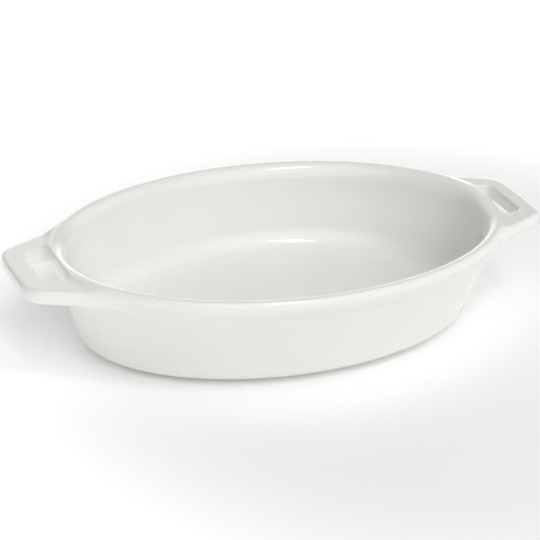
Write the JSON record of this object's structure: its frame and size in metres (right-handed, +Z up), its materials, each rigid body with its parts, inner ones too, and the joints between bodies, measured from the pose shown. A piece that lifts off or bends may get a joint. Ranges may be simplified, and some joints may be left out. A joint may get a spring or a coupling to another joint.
{
  "type": "oval baking dish",
  "caption": "Oval glazed stoneware baking dish with flared wall, rounded rim bead, slotted loop handles on both ends and a low unglazed foot ring.",
  "frame": {"origin": "under the middle of the dish, on the plane of the foot ring's standing face", "axes": "+X along the length towards the right handle, +Y across the dish, +Z up out of the bowl"},
  "size_m": [0.337, 0.185, 0.0625],
  "materials": {
    "glaze": "glossy white glaze",
    "biscuit": "matte unglazed stoneware"
  },
  "bodies": {
    "root": {"dish_body": "glaze", "left_handle": "glaze", "right_handle": "glaze", "foot_ring": "biscuit"}
  },
  "joints": []
}
